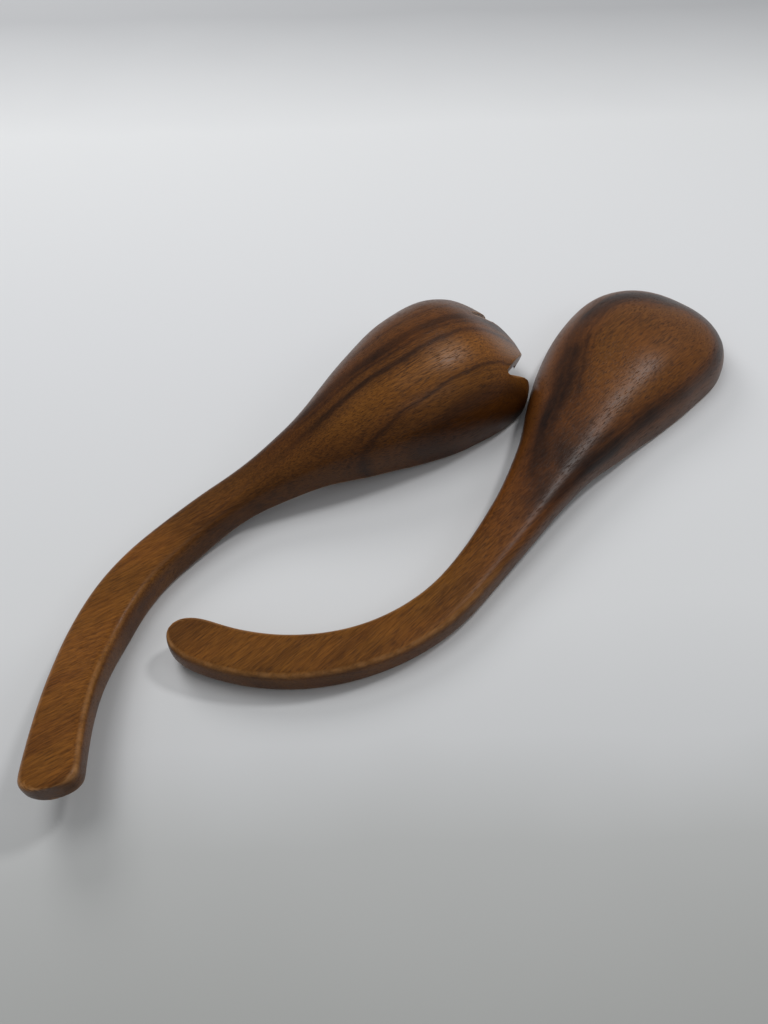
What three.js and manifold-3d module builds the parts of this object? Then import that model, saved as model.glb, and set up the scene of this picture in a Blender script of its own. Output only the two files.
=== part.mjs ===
// A matched pair of hand-carved wooden salad servers, a spoon and a fork, lying with their
// bowls face down. Each server is one piece of wood, and their handles curve opposite ways.
// Millimetres, +Z up. The origin is under the middle of the pair, on the surface that it lies
// on, and +Y runs from the handles to the bowls.
//
// A server is a row of closed sections along a centreline of arcs, which starts at the tip of
// the bowl. A station is the distance from that tip along the centreline. In a section, u is
// the distance to the left of the centreline as it runs from the tip to the handle's end, and
// z is the height. The bowl's hollow is part of the sections, and the fork's notches are cut.

import * as THREE from 'three';
import { mergeVertices } from 'three/addons/utils/BufferGeometryUtils.js';
import Module from 'manifold-3d';

const wasm = await Module();
wasm.setup();

// ---- Driving dimensions ----

const WALL = 4;                 // thickness of the bowl's side wall at the rim
const CROWN_WALL = 4.5;         // thickness over the deepest part of the hollow
const HOLLOW_SQUARENESS = 2.3;  // 2 is an ellipse, and more is squarer
const END_ROUND = 4;            // how far the handle's end is rounded from above and below
const END_FLAT = 0.75;          // share of the handle's thickness left at its very end
const EDGE_SHARE = 0.6;         // most of the half width that a lower edge's rounding may take
const END_INSET = 0.2;          // how far inside the tip and the handle's end the sections stop

const ARCH_STEPS = 22;          // section points over the outside
const EDGE_STEPS = 2;           // section points round each lower edge
const HOLLOW_STEPS = 12;        // section points over the hollow, or along the flat underside
const UNDERSIDE_SPREAD = [0.12, 0.4]; // share of the underside those points span, hollow and handle
const UNDERSIDE_BLEND = 25;     // distance over which that share changes, past the hollow
const SECTION_PITCH = 5.5;      // distance between sections
const TIP_SECTIONS = 9;         // sections crowded together round the tip
const END_SECTIONS = 5;         // sections crowded together round the handle's end

const NOTCH_ROUND = 1.2;        // radius at the root of a notch
const NOTCH_STEPS = 6;          // facets round that root
const NOTCH_REACH = 45;         // how far the cutter runs out past the tines
const NOTCH_HEIGHT = [-20, 70]; // the cutter's lowest and highest point
const MERGE_DISTANCE = 1e-4;    // points closer than this are one point in a solid

const SPOON_COLOUR = 0x80512a;
const FORK_COLOUR = 0x86552b;

// Where the bowls' sections are level with the rim, a server stands on it. Every list of pairs
// below is [station, value], every round is [length, power], and hollow is where it starts and
// ends. A notch's points are [station, u]: its root, and where its two sides meet the tip.
const SPOON = {
  tip: [-131.1, 364.8],
  heading: -94,
  arcs: [[60.3, 10], [55.3, 8.1], [55.3, -1.4], [55.3, -6.1], [60.4, -40.4], [60.4, -40.8]],
  halfWidth: [[0, 28], [22, 38.5], [45, 40], [70, 37.9], [96, 32.7], [121, 25.6], [151, 17.1],
    [186, 11.7], [226, 9.2], [267, 9], [307, 9.4], [347, 9]],
  top: [[0, 20.5], [22, 28.8], [45, 29.5], [70, 29.5], [96, 26.3], [121, 23], [151, 20],
    [186, 16.6], [226, 13.4], [267, 12.2], [307, 13], [347, 15]],
  bottom: [[0, 4], [28, 0], [92, 0], [121, 2.5], [151, 5], [186, 3], [226, 0], [275, 0], [347, 3]],
  squareness: [[0, 2.5], [105, 2.5], [151, 3], [186, 3.8], [226, 5], [267, 6], [347, 6]],
  lowerEdge: [[0, 1.5], [120, 1.5], [160, 3], [347, 3]],
  roll: [[0, 0], [347, 0]],
  rollEdge: 0,
  tipRound: [44.7, 2.1],
  backRound: [63, 1.95],
  endRound: [14, 2.3],
  hollow: [4, 118],
  neckRound: 62,
};

const FORK = {
  tip: [-179.6, 267.3],
  heading: -99.1,
  arcs: [[53, 5.3], [48.5, 3.3], [48.5, -9.7], [48.5, 16], [53, 36.7], [53, 14.2]],
  halfWidth: [[0, 34.4], [19, 35.6], [40, 37.7], [62, 35.9], [84, 30.3], [106, 22.9],
    [132, 13.7], [163, 9], [198, 9.3], [234, 10], [269, 9], [304, 9.8]],
  top: [[0, 25], [19, 32.5], [40, 37.5], [62, 38.8], [84, 36.3], [106, 32.5], [132, 26.3],
    [163, 19.2], [198, 15.5], [234, 14.3], [269, 20], [304, 25]],
  bottom: [[0, 3], [26, 0], [80, 0], [106, 2.5], [132, 5], [163, 4], [198, 0], [234, 0],
    [269, 8], [304, 14]],
  squareness: [[0, 2.3], [106, 2.4], [132, 2.8], [163, 3.6], [198, 4.5], [234, 5.5], [304, 6]],
  lowerEdge: [[0, 1.5], [106, 1.5], [140, 3], [304, 3]],
  roll: [[0, 15], [88, 15], [168, 0], [304, 0]],
  rollEdge: 38,
  tipRound: [24, 1.65],
  backRound: [48.5, 1.7],
  endRound: [7, 2.7],
  hollow: [3, 104],
  neckRound: 54,
  notches: [
    { root: [34.5, 26], inner: [4, 11.7], outer: [11, 27.5] },
    { root: [30, -10.5], inner: [14, -8.5], outer: [8, -15] },
  ],
};

// ---- Curves ----

// A smooth curve through [station, value] points that never overshoots between them.
function profile(points) {
  const s = points.map((p) => p[0]);
  const v = points.map((p) => p[1]);
  const last = points.length - 1;
  const step = (i) => s[i + 1] - s[i];
  const rise = (i) => (v[i + 1] - v[i]) / step(i);
  const slope = points.map((_, i) => {
    if (i === 0) return rise(0);
    if (i === last) return rise(last - 1);
    const before = rise(i - 1);
    const after = rise(i);
    if (before * after <= 0) return 0;
    const near = 2 * step(i) + step(i - 1);
    const far = step(i) + 2 * step(i - 1);
    return (near + far) / (near / before + far / after);
  });
  return (station) => {
    const x = Math.min(Math.max(station, s[0]), s[last]);
    let i = 0;
    while (i < last - 1 && x > s[i + 1]) i += 1;
    const h = step(i);
    const t = (x - s[i]) / h;
    const start = v[i] * (1 + 2 * t) * (1 - t) ** 2 + h * slope[i] * t * (1 - t) ** 2;
    const end = v[i + 1] * t * t * (3 - 2 * t) + h * slope[i + 1] * t * t * (t - 1);
    return start + end;
  };
}

// Rises from 0 to 1 over a distance, as a rounded end does. A power of 2 is a quarter ellipse.
function roundOff(distance, length, power = 2) {
  const left = THREE.MathUtils.clamp(1 - distance / length, 0, 1);
  return (1 - left ** power) ** (1 / power);
}

// The centreline's place and heading at a station, along its chain of [length, turn] arcs.
function alongArcs({ tip, heading, arcs }, station) {
  let [x, y] = tip;
  let angle = THREE.MathUtils.degToRad(heading);
  let left = station;
  for (const [length, turn] of arcs) {
    const run = Math.min(left, length);
    const bend = THREE.MathUtils.degToRad(turn) / length;
    x += (Math.sin(angle + bend * run) - Math.sin(angle)) / bend;
    y -= (Math.cos(angle + bend * run) - Math.cos(angle)) / bend;
    angle += bend * run;
    left -= run;
    if (left <= 0) break;
  }
  return { x, y, angle };
}

// ---- A server ----

// A point on a quarter or half of a rounded rectangle: an ellipse where squareness is 2.
function rounded(angle, squareness) {
  const across = Math.cos(angle);
  return [
    Math.sign(across) * Math.abs(across) ** (2 / squareness),
    Math.abs(Math.sin(angle)) ** (2 / squareness),
  ];
}

// One closed section as [u, z] points, from the left edge over the top and back underneath.
function section(server, station) {
  const fromEnd = server.length - station;
  const halfWidth = server.at.halfWidth(station)
    * roundOff(station, ...server.tipRound) * roundOff(fromEnd, ...server.endRound);
  const thinning = END_FLAT + (1 - END_FLAT) * roundOff(fromEnd, END_ROUND);
  const middle = (server.at.top(station) + server.at.bottom(station)) / 2;
  const bottom = middle + (server.at.bottom(station) - middle) * thinning;
  const fullTop = middle + (server.at.top(station) - middle) * thinning;
  const edge = Math.min(server.at.lowerEdge(station), halfWidth * EDGE_SHARE);
  const shoulder = bottom + edge;
  const top = shoulder + (fullTop - shoulder) * roundOff(station, ...server.backRound);

  const [from, to] = server.hollow;
  const closing = roundOff(to - station, server.neckRound);
  const hollowWidth = server.at.halfWidth(station) * roundOff(station - from, ...server.tipRound);
  const pastHollow = THREE.MathUtils.clamp((station - to) / UNDERSIDE_BLEND, 0, 1);
  const spread = THREE.MathUtils.lerp(...UNDERSIDE_SPREAD, pastHollow);
  const inside = Math.max((hollowWidth - WALL) * closing, (halfWidth - edge) * spread);
  const hollowTop = shoulder + (fullTop - shoulder) * roundOff(station - from, ...server.backRound);
  const depth = Math.max(hollowTop - CROWN_WALL - bottom, 0) * closing;

  const points = [];
  const add = (u, z) => points.push([u, z]);
  for (let i = 0; i <= ARCH_STEPS; i += 1) {
    const [across, up] = rounded((Math.PI * i) / ARCH_STEPS, server.at.squareness(station));
    add(halfWidth * across, shoulder + (top - shoulder) * up);
  }
  for (let i = 1; i <= EDGE_STEPS; i += 1) {
    const turn = (Math.PI * i) / (2 * EDGE_STEPS);
    add(-halfWidth + edge * (1 - Math.cos(turn)), shoulder - edge * Math.sin(turn));
  }
  for (let i = 0; i <= HOLLOW_STEPS; i += 1) {
    const [across, up] = rounded(Math.PI * (1 - i / HOLLOW_STEPS), HOLLOW_SQUARENESS);
    add(inside * across, bottom + depth * up);
  }
  for (let i = EDGE_STEPS; i >= 1; i -= 1) {
    const turn = (Math.PI * i) / (2 * EDGE_STEPS);
    add(halfWidth - edge * (1 - Math.cos(turn)), shoulder - edge * Math.sin(turn));
  }
  return points;
}

// Where the sections are: evenly spaced, and crowded together where the two ends close.
function stations(server) {
  const first = END_INSET;
  const last = server.length - END_INSET;
  const tipLength = server.tipRound[0];
  const endLength = server.endRound[0];
  const straight = last - endLength - tipLength;
  const evenly = Math.round(straight / SECTION_PITCH);
  const places = [];
  for (let i = 0; i < TIP_SECTIONS; i += 1) {
    const near = Math.cos((Math.PI * i) / (2 * TIP_SECTIONS));
    places.push(first + (tipLength - first) * (1 - near));
  }
  for (let i = 0; i < evenly; i += 1) places.push(tipLength + (straight * i) / evenly);
  for (let i = 0; i <= END_SECTIONS; i += 1) {
    const near = 1 - Math.sin((Math.PI * i) / (2 * END_SECTIONS));
    places.push(last - endLength * near);
  }
  return places;
}

// Where a section stands and how it's turned. It rolls about a line rollEdge to the left.
function placement(server, station) {
  const { x, y, angle } = alongArcs(server, station);
  const ahead = new THREE.Vector3(Math.cos(angle), Math.sin(angle), 0);
  const left = new THREE.Vector3(-Math.sin(angle), Math.cos(angle), 0);
  const roll = THREE.MathUtils.degToRad(server.at.roll(station));
  const across = left.clone().applyAxisAngle(ahead, -roll);
  const up = new THREE.Vector3().crossVectors(ahead, across);
  const origin = new THREE.Vector3(x, y, 0)
    .addScaledVector(left, server.rollEdge)
    .addScaledVector(across, -server.rollEdge);
  return new THREE.Matrix4().makeBasis(ahead, across, up).setPosition(origin);
}

// Joins equal closed rings of points into a closed skin, with a flat fan over each end.
function loft(rings) {
  const size = rings[0].length;
  const positions = rings.flat(2);
  const triangles = [];
  for (let r = 0; r + 1 < rings.length; r += 1) {
    for (let i = 0; i < size; i += 1) {
      const a = r * size + i;
      const b = r * size + ((i + 1) % size);
      triangles.push(a, b, b + size, a, b + size, a + size);
    }
  }
  for (const [r, flip] of [[0, true], [rings.length - 1, false]]) {
    const centre = positions.length / 3;
    const mean = [0, 1, 2].map((axis) => rings[r].reduce((sum, p) => sum + p[axis], 0) / size);
    positions.push(...mean);
    for (let i = 0; i < size; i += 1) {
      const a = r * size + i;
      const b = r * size + ((i + 1) % size);
      triangles.push(...(flip ? [b, a, centre] : [a, b, centre]));
    }
  }
  const geometry = new THREE.BufferGeometry();
  geometry.setAttribute('position', new THREE.Float32BufferAttribute(positions, 3));
  geometry.setIndex(triangles);
  return geometry;
}

const PROFILES = ['halfWidth', 'top', 'bottom', 'squareness', 'lowerEdge', 'roll'];

// Works out a server's length and smooth profiles from its driving dimensions.
function plan(dimensions) {
  const at = Object.fromEntries(PROFILES.map((key) => [key, profile(dimensions[key])]));
  const length = dimensions.arcs.reduce((sum, [arc]) => sum + arc, 0);
  return { ...dimensions, length, at };
}

function blank(server) {
  const rings = stations(server).map((station) => {
    const matrix = placement(server, station);
    return section(server, station).map(
      ([u, z]) => new THREE.Vector3(0, u, z).applyMatrix4(matrix).toArray(),
    );
  });
  return loft(rings);
}

// ---- The fork's notches ----

// A V-shaped cutter that stands through the bowl. It is open towards the tip.
function notchCutter(server, { root, inner, outer }) {
  const [r, i, o] = [root, inner, outer].map(([s, u]) => new THREE.Vector2(s, u));
  const towardsInner = i.clone().sub(r).normalize();
  const towardsOuter = o.clone().sub(r).normalize();
  const halfAngle = Math.acos(towardsInner.dot(towardsOuter)) / 2;
  const middle = towardsInner.clone().add(towardsOuter).normalize();
  const centre = r.clone().addScaledVector(middle, NOTCH_ROUND / Math.sin(halfAngle));
  const outline = [];
  for (let k = 0; k <= NOTCH_STEPS; k += 1) {
    const sweep = (2 * k) / NOTCH_STEPS - 1;
    const turn = sweep * (Math.PI / 2 - halfAngle);
    const away = middle.clone().negate().rotateAround(new THREE.Vector2(), turn);
    outline.push(centre.clone().addScaledVector(away, NOTCH_ROUND));
  }
  const [start, end] = [outline[0], outline[NOTCH_STEPS]];
  const reach = (from, to) => from.clone().addScaledVector(to, NOTCH_REACH);
  const startsInner = start.distanceTo(i) < end.distanceTo(i);
  outline.unshift(reach(start, startsInner ? towardsInner : towardsOuter));
  outline.push(reach(end, startsInner ? towardsOuter : towardsInner));
  if (THREE.ShapeUtils.isClockWise(outline)) outline.reverse();
  const cutter = new THREE.ExtrudeGeometry(new THREE.Shape(outline), {
    depth: NOTCH_HEIGHT[1] - NOTCH_HEIGHT[0],
    bevelEnabled: false,
  });
  cutter.translate(0, 0, NOTCH_HEIGHT[0]);
  return cutter.applyMatrix4(placement(server, 0));
}

function toSolid(geometry) {
  const bare = geometry.clone();
  bare.deleteAttribute('normal');
  bare.deleteAttribute('uv');
  const merged = mergeVertices(bare, MERGE_DISTANCE);
  return new wasm.Manifold(new wasm.Mesh({
    numProp: 3,
    vertProperties: merged.getAttribute('position').array,
    triVerts: Uint32Array.from(merged.getIndex().array),
  }));
}

function toGeometry(solid) {
  const { vertProperties, triVerts } = solid.getMesh();
  const geometry = new THREE.BufferGeometry();
  geometry.setAttribute('position', new THREE.BufferAttribute(Float32Array.from(vertProperties), 3));
  geometry.setIndex(Array.from(triVerts));
  return geometry;
}

function notched(server, geometry) {
  const cut = server.notches.reduce(
    (solid, notch) => solid.subtract(toSolid(notchCutter(server, notch))),
    toSolid(geometry),
  );
  return toGeometry(cut);
}

// ---- The pair ----

function wooden(name, geometry, colour) {
  geometry.computeVertexNormals();
  const wood = new THREE.MeshStandardMaterial({ color: colour, roughness: 0.42, metalness: 0 });
  const mesh = new THREE.Mesh(geometry, wood);
  mesh.name = name;
  return mesh;
}

const spoon = plan(SPOON);
const fork = plan(FORK);
const servers = new THREE.Group();
servers.add(wooden('serving_spoon', blank(spoon), SPOON_COLOUR));
servers.add(wooden('serving_fork', notched(fork, blank(fork)), FORK_COLOUR));

const middle = new THREE.Box3().setFromObject(servers, true).getCenter(new THREE.Vector3());
servers.position.set(-middle.x, -middle.y, 0);

const pair = new THREE.Group();
pair.add(servers);

export default pair;
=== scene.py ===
"""Looks for a pair of hand-carved wooden salad servers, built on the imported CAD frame.

Places and sizes are in metres. The woods' figure, grain and tooling are in millimetres.
"""

import math

import bmesh
import bpy
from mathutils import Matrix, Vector, noise


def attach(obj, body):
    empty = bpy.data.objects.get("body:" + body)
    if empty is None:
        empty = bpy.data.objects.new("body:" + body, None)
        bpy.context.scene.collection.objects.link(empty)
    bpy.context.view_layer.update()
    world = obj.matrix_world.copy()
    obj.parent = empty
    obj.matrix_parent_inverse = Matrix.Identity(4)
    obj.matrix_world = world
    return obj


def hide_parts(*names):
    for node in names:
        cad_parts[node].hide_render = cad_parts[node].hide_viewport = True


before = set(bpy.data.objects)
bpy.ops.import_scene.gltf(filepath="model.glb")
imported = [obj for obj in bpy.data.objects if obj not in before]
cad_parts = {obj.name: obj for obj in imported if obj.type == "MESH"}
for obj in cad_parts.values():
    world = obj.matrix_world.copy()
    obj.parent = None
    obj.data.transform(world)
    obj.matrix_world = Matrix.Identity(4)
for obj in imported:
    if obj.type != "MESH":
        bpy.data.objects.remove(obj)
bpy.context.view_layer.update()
scene = bpy.context.scene

MM = 0.001

# ---------------------------------------------------------------- camera and light

CAMERA_PLACE = (154.1 * MM, -173.5 * MM, 255 * MM)
CAMERA_TILT = 40                # degrees up from looking straight down
CAMERA_TURN = 45                # degrees round Z from looking along +Y
FOCAL_LENGTH = 27.07            # for a sensor SENSOR_SIZE along the picture's long side
SENSOR_SIZE = 36.0
NEAREST = 0.01                  # nothing closer to the camera than this is drawn

# Name, place, the point it's aimed at, size, watts, and whether the wood mirrors it.
LAMPS = [
    ("lamp_back", (0.155, 0.717, 1.07), (0.03, 0.12, 0), 0.22, 3.8, True),
    ("lamp_right", (0.79, 0.24, 0.74), (-0.03, 0.06, 0), 0.34, 0.5, True),
    ("lamp_top", (-0.40, -0.10, 1.10), (-0.02, 0.02, 0), 0.60, 3.2, False),
    ("lamp_left", (-0.90, 0.10, 0.72), (-0.02, 0.02, 0), 0.50, 3.4, False),
]
TENT_COLOUR = (0.96, 0.98, 1.0, 1)
TENT_STRENGTH = 0.30


def area_light(name, place, aim, size, watts, mirrored):
    """A soft round lamp aimed at a point."""
    data = bpy.data.lights.new(name, "AREA")
    data.shape = "DISK"
    data.size = size
    data.energy = watts
    light = bpy.data.objects.new(name, data)
    light.location = place
    light.rotation_euler = (Vector(aim) - Vector(place)).to_track_quat("-Z", "Y").to_euler()
    light.visible_glossy = mirrored
    scene.collection.objects.link(light)


camera_data = bpy.data.cameras.new("camera")
camera_data.lens = FOCAL_LENGTH
camera_data.sensor_width = SENSOR_SIZE
camera_data.clip_start = NEAREST
camera = bpy.data.objects.new("camera", camera_data)
camera.location = CAMERA_PLACE
camera.rotation_euler = (math.radians(CAMERA_TILT), 0, math.radians(CAMERA_TURN))
scene.collection.objects.link(camera)
scene.camera = camera

scene.view_settings.view_transform = "Standard"
scene.view_settings.look = "None"

for lamp in LAMPS:
    area_light(*lamp)

world = bpy.data.worlds.new("tent")
scene.world = world
world.use_nodes = True
world.node_tree.nodes["Background"].inputs["Color"].default_value = TENT_COLOUR
world.node_tree.nodes["Background"].inputs["Strength"].default_value = TENT_STRENGTH


# ---------------------------------------------------------------- node helpers


def srgb(r, g, b):
    """A colour given as it looks on screen, 0 to 255, as linear light."""
    def linear(value):
        v = value / 255
        return v / 12.92 if v <= 0.04045 else ((v + 0.055) / 1.055) ** 2.4

    return (linear(r), linear(g), linear(b), 1.0)


class Tree:
    """Short ways to add nodes to a material and join them."""

    def __init__(self, name):
        self.material = bpy.data.materials.new(name)
        self.material.use_nodes = True
        self.nodes = self.material.node_tree.nodes
        self.links = self.material.node_tree.links
        self.shader = self.nodes["Principled BSDF"]

    def put(self, socket, value):
        if isinstance(value, bpy.types.NodeSocket):
            self.links.new(value, socket)
        else:
            socket.default_value = value

    def coordinates(self, kind):
        return self.nodes.new("ShaderNodeTexCoord").outputs[kind]

    def axes(self, point):
        """A point's X, Y and Z, each by its name."""
        node = self.nodes.new("ShaderNodeSeparateXYZ")
        self.put(node.inputs[0], point)
        return node.outputs

    def math(self, operation, a, b=0.0, clamp=False):
        node = self.nodes.new("ShaderNodeMath")
        node.operation = operation
        node.use_clamp = clamp
        self.put(node.inputs[0], a)
        self.put(node.inputs[1], b)
        return node.outputs[0]

    def plus(self, a, b):
        return self.math("ADD", a, b)

    def minus(self, a, b):
        return self.math("SUBTRACT", a, b)

    def times(self, a, b):
        return self.math("MULTIPLY", a, b)

    def ramp_between(self, value, low, high):
        """0 at low and 1 at high, with a smooth step between them."""
        node = self.nodes.new("ShaderNodeMapRange")
        node.interpolation_type = "SMOOTHSTEP"
        self.put(node.inputs["Value"], value)
        node.inputs["From Min"].default_value = low
        node.inputs["From Max"].default_value = high
        return node.outputs["Result"]

    def vector(self, operation, point, values):
        node = self.nodes.new("ShaderNodeVectorMath")
        node.operation = operation
        self.put(node.inputs[0], point)
        node.inputs[1].default_value = values
        return node

    def turned(self, point, degrees):
        """A point turned round Z."""
        node = self.nodes.new("ShaderNodeVectorRotate")
        node.rotation_type = "Z_AXIS"
        self.put(node.inputs["Vector"], point)
        node.inputs["Angle"].default_value = math.radians(degrees)
        return node.outputs[0]

    def noise(self, point, scale, detail, roughness=0.5, distortion=0.0):
        node = self.nodes.new("ShaderNodeTexNoise")
        self.put(node.inputs["Vector"], point)
        node.inputs["Scale"].default_value = scale
        node.inputs["Detail"].default_value = detail
        node.inputs["Roughness"].default_value = roughness
        node.inputs["Distortion"].default_value = distortion
        return node.outputs["Fac"]

    def centred(self, value, amount):
        """A noise value turned into plus or minus about half of amount."""
        return self.times(self.minus(value, 0.5), amount)

    def colours(self, value, stops):
        """A colour ramp whose stops are given in the value's own units, lowest first."""
        low, high = stops[0][0], stops[-1][0]
        node = self.nodes.new("ShaderNodeValToRGB")
        ramp = node.color_ramp
        ramp.elements.remove(ramp.elements[-1])
        for i, (at, colour) in enumerate(stops):
            place = (at - low) / (high - low)
            element = ramp.elements[0] if i == 0 else ramp.elements.new(place)
            element.position = place
            element.color = srgb(*colour)
        self.put(node.inputs[0], self.math("DIVIDE", self.minus(value, low), high - low))
        return node.outputs["Color"]

    def mix(self, factor, a, b, blend="MIX"):
        node = self.nodes.new("ShaderNodeMix")
        node.data_type = "RGBA"
        node.blend_type = blend
        self.put(node.inputs["Factor"], factor)
        self.put(node.inputs["A"], a)
        self.put(node.inputs["B"], b)
        return node.outputs["Result"]

    def tinted(self, colour, tint):
        return self.mix(1.0, colour, tint, "MULTIPLY")


# ---------------------------------------------------------------- wood

# Noises in the wood. share_along is how fast each one changes along the grain, as a share of
# how fast it changes across it, so a small share makes a long streak. scale is per millimetre.
SWELL = {"share_along": 0.45, "scale": 0.028, "detail": 2}
RIPPLE = {"share_along": 0.22, "scale": 0.13, "detail": 3, "roughness": 0.6}
FRAY = {"share_along": 0.09, "scale": 0.9, "detail": 3, "roughness": 0.65}
HANDLE_SPREAD = {"share_along": 0.10, "scale": 0.085, "detail": 4, "roughness": 0.55, "distortion": 0.4}
LINE_PRESENCE = {"share_along": 1, "scale": 0.045, "detail": 2}
PATCHES = {"share_along": 0.5, "scale": 0.05, "detail": 3}
FIBRES = {"share_along": 0.05, "scale": 2.2, "detail": 4, "roughness": 0.7}
PORES = {"share_along": 0.085, "scale": 2.6, "detail": 1}
PORE_CROWDS = {"share_along": 0.6, "scale": 0.07, "detail": 2}
WEAR_AND_HIGHLIGHT_PATCHES = {"share_along": 1, "scale": 0.22, "detail": 3, "roughness": 0.6}
SMUDGES = {"share_along": 1, "scale": 0.035, "detail": 3, "roughness": 0.6}
TOOLING = {"share_along": 0.5, "scale": 0.11, "detail": 2}
PLANK_STEP = (31.7, 17.3, 11.9)     # mm from one plank's noise to the next one's
RIDGE_ATTRIBUTE = "ridge"           # where mark_ridges leaves its values for the wear and the painted edge highlight

# How far each noise moves the growth layers, in mm.
SWELL_REACH = 3.0
RIPPLE_REACH = 2.6
FRAY_REACH = 1.0
HANDLE_EDGE_REACH = 30              # and the edge between heartwood and handle wood

# Thin growth lines, a sine of the depth through the layers.
LINE_WAVE = 3.4                     # radians per mm
LINE_WANDER = 4.0                   # mm
LINE_WIDTH = (0.1, 1.0)             # of the sine's height
LINE_SHOWS = (0.42, 0.66)
LINE_STRENGTH = 0.42
LINE_COLOUR = (58, 34, 20)

PATCH_SHOWS = (0.35, 0.70)
PATCH_STRENGTH = 0.28
PATCH_COLOUR = (146, 86, 34)
FIBRE_SHOWS = (0.34, 0.66)
FIBRE_TINTS = [(0, (192, 186, 180)), (1, (255, 252, 246))]

# Pores are where their noise passes a level, which is lower where they crowd.
PORE_LEVEL = 0.575
PORE_CROWDING = -0.16
PORE_SHARPNESS = 13.0
PORE_DARKNESS = 0.36                # on the handle
PORE_DARKNESS_GAIN = 0.26           # more on the heartwood
PORE_COLOUR = (44, 24, 12)

# Painted shade: sides and undersides are darker, by the Z of the surface's normal, as if lit from above.
SIDE_SHADE_BETWEEN = (0.75, -0.1)
SIDE_SHADE_STRENGTH = 0.45
SIDE_SHADE_TINT = (150, 136, 120)

# Ridges are paler, in patches: partly wear, partly a painted highlight along the edges.
WEAR_AND_HIGHLIGHT_SHOWS = (0.36, 0.64)
WEAR_AND_HIGHLIGHT_BASE = 0.35
WEAR_AND_HIGHLIGHT_GAIN = 0.5
WEAR_AND_HIGHLIGHT_STRENGTH = 0.75
WEAR_AND_HIGHLIGHT_COLOUR = (186, 136, 86)

ROUGHNESS = 0.24
SMUDGE_ROUGHNESS = 0.14
PORE_ROUGHNESS = 0.18
FIBRE_ROUGHNESS = 0.05
SPECULAR = 0.18

FIBRE_HEIGHT = 0.16
PORE_HEIGHT = -0.09
TOOLING_HEIGHT = 0.35
BUMP_STRENGTH = 0.55
BUMP_DISTANCE = 0.4 * MM


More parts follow.
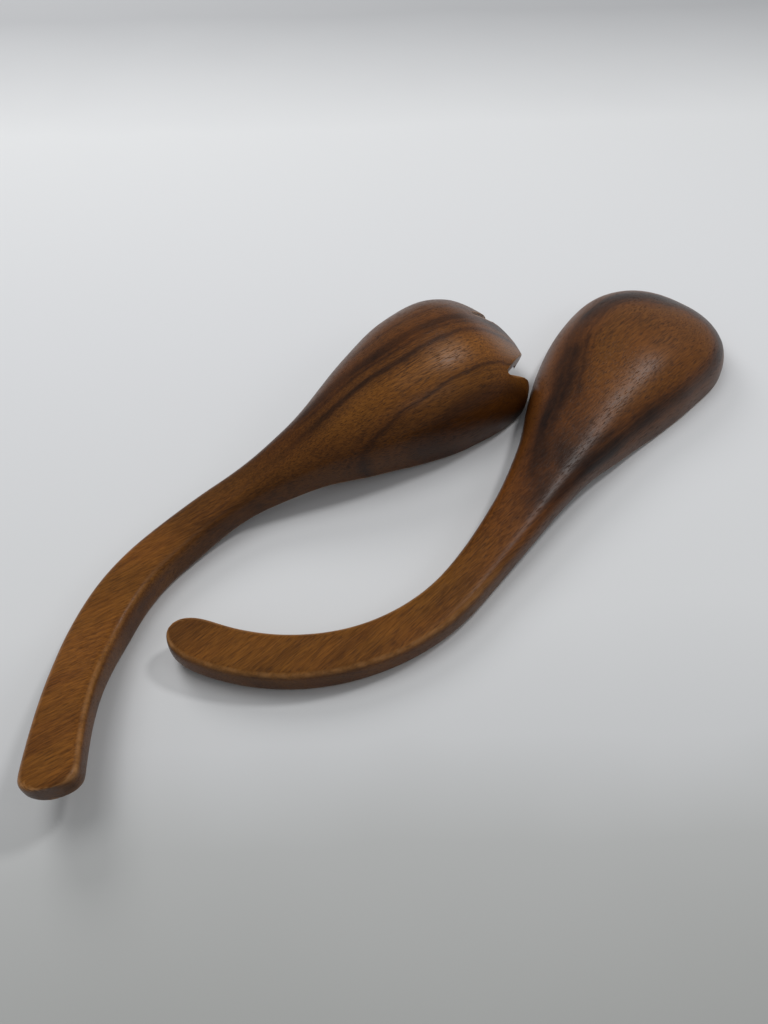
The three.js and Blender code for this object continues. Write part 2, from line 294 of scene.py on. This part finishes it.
def wood(name, layer_normal, layer_offset, bend, slant, figure, handle_colours, heart_between, shade, seed):
    """Oiled wood cut from one plank, in millimetres, its grain slant degrees off Y towards X.

    The growth layers are planes across layer_normal, warped by noise. Short of Y = bend[0]
    they drift by bend[1] per millimetre. figure gives the heartwood's colours by depth through
    the layers. The handle has handle_colours, and turns to heartwood over heart_between along Y.
    shade tints the wood by how far along Y it is.
    """
    t = Tree(name)
    point = t.vector("MULTIPLY", t.coordinates("Object"), (1 / MM, 1 / MM, 1 / MM)).outputs[0]
    along = t.axes(point)["Y"]
    shifted = t.vector("ADD", point, [seed * step for step in PLANK_STEP]).outputs[0]
    grain_point = t.turned(shifted, slant)

    def grain(share_along, **settings):
        return t.noise(t.vector("MULTIPLY", grain_point, (1, share_along, 1)).outputs[0], **settings)

    # Depth through the growth layers, and the colours it gives.
    swell = grain(**SWELL)
    ripple = grain(**RIPPLE)
    depth = t.plus(t.vector("DOT_PRODUCT", point, layer_normal).outputs["Value"], layer_offset)
    bend_from, bend_rate = bend
    short_of_bend = t.math("MAXIMUM", t.minus(bend_from, along), 0.0)
    depth = t.minus(depth, t.times(short_of_bend, bend_rate))
    depth = t.plus(depth, t.centred(swell, SWELL_REACH))
    depth = t.plus(depth, t.centred(ripple, RIPPLE_REACH))
    depth = t.plus(depth, t.centred(grain(**FRAY), FRAY_REACH))
    on_heart = t.ramp_between(t.plus(along, t.centred(swell, HANDLE_EDGE_REACH)), *heart_between)
    handle = t.colours(grain(**HANDLE_SPREAD), handle_colours)
    colour = t.mix(on_heart, handle, t.colours(depth, figure))

    # Growth lines through the layers, strong in some places and lost in others.
    wave = t.math("SINE", t.times(t.plus(depth, t.centred(ripple, LINE_WANDER)), LINE_WAVE))
    presence = t.ramp_between(grain(**LINE_PRESENCE), *LINE_SHOWS)
    lines = t.times(t.ramp_between(wave, *LINE_WIDTH), presence)
    colour = t.mix(t.times(lines, LINE_STRENGTH), colour, srgb(*LINE_COLOUR))

    # Broad warm patches, the fine streaks of the fibres, and the shade along the server.
    patches = t.ramp_between(grain(**PATCHES), *PATCH_SHOWS)
    colour = t.mix(t.times(patches, PATCH_STRENGTH), colour, srgb(*PATCH_COLOUR))
    streaks = grain(**FIBRES)
    fibre = t.ramp_between(streaks, *FIBRE_SHOWS)
    colour = t.tinted(colour, t.colours(fibre, FIBRE_TINTS))
    colour = t.tinted(colour, t.colours(along, shade))

    # Short open pores, darker than the wood: dashes along the grain and dots across it.
    level = t.plus(PORE_LEVEL, t.centred(grain(**PORE_CROWDS), PORE_CROWDING))
    pores = t.math("MULTIPLY", t.minus(grain(**PORES), level), PORE_SHARPNESS, clamp=True)
    darkness = t.plus(PORE_DARKNESS, t.times(on_heart, PORE_DARKNESS_GAIN))
    colour = t.mix(t.times(pores, darkness), colour, srgb(*PORE_COLOUR))

    # Painted shade: the sides and the undersides are darkened by the Z of their normal, as if lit from
    # above.
    painted_side_shade = t.ramp_between(t.axes(t.coordinates("Normal"))["Z"], *SIDE_SHADE_BETWEEN)
    colour = t.mix(t.times(painted_side_shade, SIDE_SHADE_STRENGTH), colour, t.tinted(colour, srgb(*SIDE_SHADE_TINT)))

    # Handling has rubbed the ridges pale, and the same paling is also a painted highlight along the edges.
    ridge = t.nodes.new("ShaderNodeAttribute")
    ridge.attribute_name = RIDGE_ATTRIBUTE
    patchy = t.ramp_between(grain(**WEAR_AND_HIGHLIGHT_PATCHES), *WEAR_AND_HIGHLIGHT_SHOWS)
    wear_and_highlight = t.times(ridge.outputs["Fac"], t.plus(WEAR_AND_HIGHLIGHT_BASE, t.times(patchy, WEAR_AND_HIGHLIGHT_GAIN)))
    colour = t.mix(t.times(wear_and_highlight, WEAR_AND_HIGHLIGHT_STRENGTH), colour, srgb(*WEAR_AND_HIGHLIGHT_COLOUR))
    t.put(t.shader.inputs["Base Color"], colour)

    rough = t.plus(ROUGHNESS, t.times(grain(**SMUDGES), SMUDGE_ROUGHNESS))
    rough = t.plus(rough, t.times(pores, PORE_ROUGHNESS))
    rough = t.plus(rough, t.times(fibre, FIBRE_ROUGHNESS))
    t.put(t.shader.inputs["Roughness"], rough)
    t.shader.inputs["Specular IOR Level"].default_value = SPECULAR

    height = t.plus(t.times(streaks, FIBRE_HEIGHT), t.times(pores, PORE_HEIGHT))
    height = t.plus(height, t.times(grain(**TOOLING), TOOLING_HEIGHT))
    bump = t.nodes.new("ShaderNodeBump")
    bump.inputs["Strength"].default_value = BUMP_STRENGTH
    bump.inputs["Distance"].default_value = BUMP_DISTANCE
    t.put(bump.inputs["Height"], height)
    t.put(t.shader.inputs["Normal"], bump.outputs["Normal"])
    return t.material


SPOON_FIGURE = [
    (-16, (100, 58, 24)), (-9, (104, 62, 26)), (-5, (102, 62, 29)), (-3.4, (82, 48, 24)),
    (-2.3, (40, 23, 16)), (-0.9, (32, 18, 13)), (-0.3, (56, 33, 19)), (0.3, (36, 20, 14)),
    (1.3, (62, 37, 20)), (1.9, (84, 50, 24)), (2.4, (68, 40, 20)), (3.3, (104, 63, 28)),
    (5, (116, 73, 31)), (8, (114, 71, 30)), (16, (124, 78, 33)),
]
SPOON_HANDLE = [(0.25, (92, 56, 24)), (0.42, (112, 71, 28)), (0.55, (126, 81, 31)), (0.75, (102, 64, 25))]
SPOON_SHADE = [(-130, (255, 255, 255)), (30, (248, 248, 248)), (200, (255, 255, 255))]
FORK_FIGURE = [
    (-52, (96, 60, 31)), (-44.5, (104, 65, 32)), (-43, (74, 45, 25)), (-41.5, (104, 65, 31)),
    (-37, (98, 60, 29)), (-35, (54, 33, 20)), (-32.5, (48, 29, 18)), (-31.6, (92, 56, 27)),
    (-30.2, (66, 40, 22)), (-29, (112, 70, 31)), (-27, (108, 67, 29)), (-26, (58, 35, 19)),
    (-24.8, (68, 41, 20)), (-23.6, (118, 74, 30)), (-19, (150, 97, 38)), (-12, (146, 93, 36)),
    (-9.8, (128, 80, 31)), (-8.9, (74, 44, 20)), (-7.6, (134, 85, 33)), (-4.5, (128, 80, 31)),
    (-2.5, (96, 57, 22)), (-1, (84, 48, 18)), (0.5, (104, 61, 22)), (3, (110, 64, 22)),
    (9, (122, 72, 25)), (24, (124, 75, 28)),
]
FORK_HANDLE = [(0.25, (84, 51, 23)), (0.42, (112, 70, 27)), (0.55, (132, 85, 32)), (0.75, (112, 70, 26))]
FORK_SHADE = [
    (-190, (246, 246, 246)), (-150, (255, 255, 255)), (-112, (255, 255, 255)),
    (-88, (206, 204, 206)), (-30, (204, 202, 204)), (20, (238, 237, 238)),
    (60, (255, 255, 255)), (95, (255, 255, 255)),
]

spoon_wood = wood(
    "spoon_wood",
    layer_normal=(0.176, 0, 1),
    layer_offset=-25.9,
    bend=(60, 0.08),
    slant=0,
    figure=SPOON_FIGURE,
    handle_colours=SPOON_HANDLE,
    heart_between=(-45, 25),
    shade=SPOON_SHADE,
    seed=1,
)
fork_wood = wood(
    "fork_wood",
    layer_normal=(0.95, -0.13, 0.0),
    layer_offset=0,
    bend=(-500, 0),
    slant=10,
    figure=FORK_FIGURE,
    handle_colours=FORK_HANDLE,
    heart_between=(-85, -15),
    shade=FORK_SHADE,
    seed=2,
)


# ---------------------------------------------------------------- the servers

WELD = 0.002 * MM               # CAD points closer than this are one point
FLAT_PAIR = math.radians(30)    # two triangles may meet at this angle and still become a quad
QUAD_SKEW = math.radians(60)    # and the quad's corners may be this far from square
SHARP = math.radians(38)        # CAD edges sharper than this keep some of their crispness
SHARP_CREASE = 0.55
SMOOTH_ROUNDS = 2

CARVING = 0.16 * MM             # how deep the hand-tooling goes below the CAD's surface
CARVING_MIDDLE = 0.5            # shares of that depth: the middle, the strokes and the ripples
CARVING_STROKES = 0.4
CARVING_RIPPLES = 0.1
STROKE_SCALE = (0.07, 0.035, 0.07)      # per mm, longer along Y
RIPPLE_SCALE = (0.2, 0.08, 0.2)

RIDGE_FROM = 0.12               # bend of a surface, per mm, where a ridge begins
RIDGE_SPAN = 0.16               # and how much more makes it a full one
RIDGE_SOFTENING = 3             # rounds of averaging with the neighbours
SHORTEST_STEP = 1e-7


def welded_quads(mesh):
    """Joins the CAD's loose triangles into quads where they lie flat, and creases its sharp edges."""
    shape = bmesh.new()
    shape.from_mesh(mesh)
    bmesh.ops.remove_doubles(shape, verts=shape.verts, dist=WELD)
    bmesh.ops.join_triangles(
        shape, faces=shape.faces, angle_face_threshold=FLAT_PAIR,
        angle_shape_threshold=QUAD_SKEW, cmp_seam=False, cmp_sharp=False,
        cmp_uvs=False, cmp_vcols=False, cmp_materials=False,
    )
    crease = shape.edges.layers.float.new("crease_edge")
    for edge in shape.edges:
        if len(edge.link_faces) == 2 and edge.calc_face_angle() > SHARP:
            edge[crease] = SHARP_CREASE
    shape.to_mesh(mesh)
    shape.free()


def noise_at(place, scale):
    return noise.noise(Vector([part * step for part, step in zip(place, scale)]))


def tool_marks(mesh):
    """Sinks the surface unevenly, as a knife and a scraper leave it. It never rises."""
    normals = [vertex.normal.copy() for vertex in mesh.vertices]
    for vertex, normal in zip(mesh.vertices, normals):
        place = vertex.co / MM
        strokes = noise_at(place, STROKE_SCALE)
        ripples = noise_at(place, RIPPLE_SCALE)
        depth = CARVING_MIDDLE + CARVING_STROKES * strokes + CARVING_RIPPLES * ripples
        vertex.co -= normal * CARVING * depth


def mark_ridges(mesh):
    """Stores how convex each point is, from 0 to 1, for the wear and the painted highlight on the ridges.
    """
    shape = bmesh.new()
    shape.from_mesh(mesh)
    shape.normal_update()
    bends = []
    for vertex in shape.verts:
        total = 0.0
        for edge in vertex.link_edges:
            step = edge.other_vert(vertex).co - vertex.co
            length = max(step.length, SHORTEST_STEP)
            total -= step.dot(vertex.normal) / (length * length)
        bends.append(total / len(vertex.link_edges) * 2 * MM)
    for _ in range(RIDGE_SOFTENING):
        bends = [
            0.5 * bends[v.index]
            + 0.5 * sum(bends[e.other_vert(v).index] for e in v.link_edges) / len(v.link_edges)
            for v in shape.verts
        ]
    shape.free()
    ridge = mesh.attributes.new(RIDGE_ATTRIBUTE, "FLOAT", "POINT")
    for i, bend in enumerate(bends):
        ridge.data[i].value = min(max((bend - RIDGE_FROM) / RIDGE_SPAN, 0.0), 1.0)


def carved(node, body, name, material):
    """A smooth server in place of a faceted CAD node, with the slight unevenness of handwork."""
    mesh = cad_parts[node].data.copy()
    mesh.name = name
    mesh.materials.clear()
    mesh.materials.append(material)
    piece = bpy.data.objects.new(name, mesh)
    scene.collection.objects.link(piece)
    welded_quads(mesh)

    smooth = piece.modifiers.new("smooth", "SUBSURF")
    smooth.levels = smooth.render_levels = SMOOTH_ROUNDS
    bpy.context.view_layer.update()
    smoothed = piece.evaluated_get(bpy.context.evaluated_depsgraph_get())
    final = bpy.data.meshes.new_from_object(smoothed)
    piece.modifiers.clear()
    piece.data = final
    final.name = name
    crease = final.attributes.get("crease_edge")
    if crease is not None:
        final.attributes.remove(crease)
    final.shade_smooth()
    tool_marks(final)
    mark_ridges(final)

    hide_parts(node)
    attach(piece, body)


carved("serving_spoon", "spoon", "spoon_carved", spoon_wood)
carved("serving_fork", "fork", "fork_carved", fork_wood)


# ---------------------------------------------------------------- surface they lie on

# The sheet's colours by how far it is from the middle of the pair, away from the camera, in
# metres. Its front lip falls into the shade, and its far end darkens a little.
PAPER_TONES = [
    (-0.60, (208, 209, 208)), (-0.27, (150, 150, 148)), (-0.20, (178, 179, 177)),
    (-0.155, (190, 191, 190)), (-0.12, (212, 213, 214)), (-0.07, (222, 223, 224)),
    (0.10, (225, 226, 228)), (0.36, (228, 229, 230)), (0.60, (190, 191, 193)),
    (0.90, (208, 209, 210)),
]
PAPER_CLOUDS = {"scale": 9.0, "detail": 2}
PAPER_UNEVENNESS = 0.03         # metres the tones wander by
PAPER_SKEW = -0.05              # share of the way across the picture that is added to it
PAPER_ROUGHNESS = 0.7
PAPER_SPECULAR = 0.25
FLOOR_REACH = 4

paper = Tree("white_paper")
paper_point = paper.coordinates("Object")
paper_axes = paper.axes(paper_point)
away = paper.times(paper.minus(paper_axes["Y"], paper_axes["X"]), math.sqrt(0.5))
across = paper.plus(paper_axes["X"], paper_axes["Y"])
clouds = paper.noise(paper_point, **PAPER_CLOUDS)
tone = paper.plus(away, paper.centred(clouds, PAPER_UNEVENNESS))
tone = paper.plus(tone, paper.times(across, PAPER_SKEW))
paper.put(paper.shader.inputs["Base Color"], paper.colours(tone, PAPER_TONES))
paper.shader.inputs["Roughness"].default_value = PAPER_ROUGHNESS
paper.shader.inputs["Specular IOR Level"].default_value = PAPER_SPECULAR

floor_corners = [
    (-FLOOR_REACH, -FLOOR_REACH, 0),
    (FLOOR_REACH, -FLOOR_REACH, 0),
    (FLOOR_REACH, FLOOR_REACH, 0),
    (-FLOOR_REACH, FLOOR_REACH, 0),
]
floor_mesh = bpy.data.meshes.new("floor")
floor_mesh.from_pydata(floor_corners, [], [(0, 1, 2, 3)])
floor_mesh.materials.append(paper.material)
floor = bpy.data.objects.new("floor", floor_mesh)
scene.collection.objects.link(floor)

bpy.context.view_layer.update()
